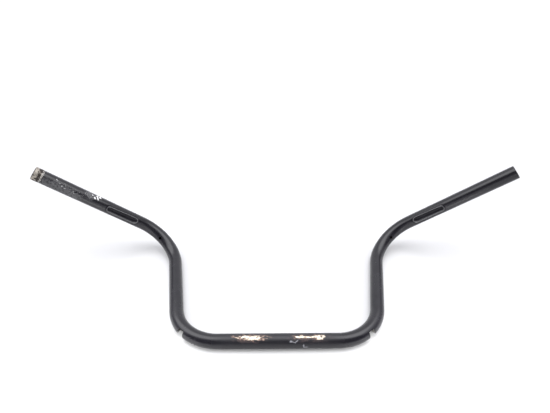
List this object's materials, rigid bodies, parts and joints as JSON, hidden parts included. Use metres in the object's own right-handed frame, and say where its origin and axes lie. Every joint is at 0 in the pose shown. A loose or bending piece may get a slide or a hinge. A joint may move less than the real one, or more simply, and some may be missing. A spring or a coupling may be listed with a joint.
{
  "type": "motorcycle handlebar",
  "caption": "Wide, high-rise tubular motorcycle handlebar with swept-back grips, wire notches, wire holes and pressed wire dimples.",
  "frame": {"origin": "middle of the clamp section, on the tube's axis", "axes": "+X along the clamp section to the rider's right, +Y up the risers, +Z back towards the rider. The bar lies with its clamp section and risers flat on a surface 12.7 mm below the origin."},
  "size_m": [0.9024, 0.2805, 0.2208],
  "materials": {
    "black_paint": "worn semi-gloss black paint over bare steel"
  },
  "bodies": {
    "root": {"clamp_section": "black_paint", "left_lower_bend": "black_paint", "left_riser": "black_paint", "left_upper_bend": "black_paint", "left_grip_section": "black_paint", "right_lower_bend": "black_paint", "right_riser": "black_paint", "right_upper_bend": "black_paint", "right_grip_section": "black_paint"}
  },
  "joints": []
}
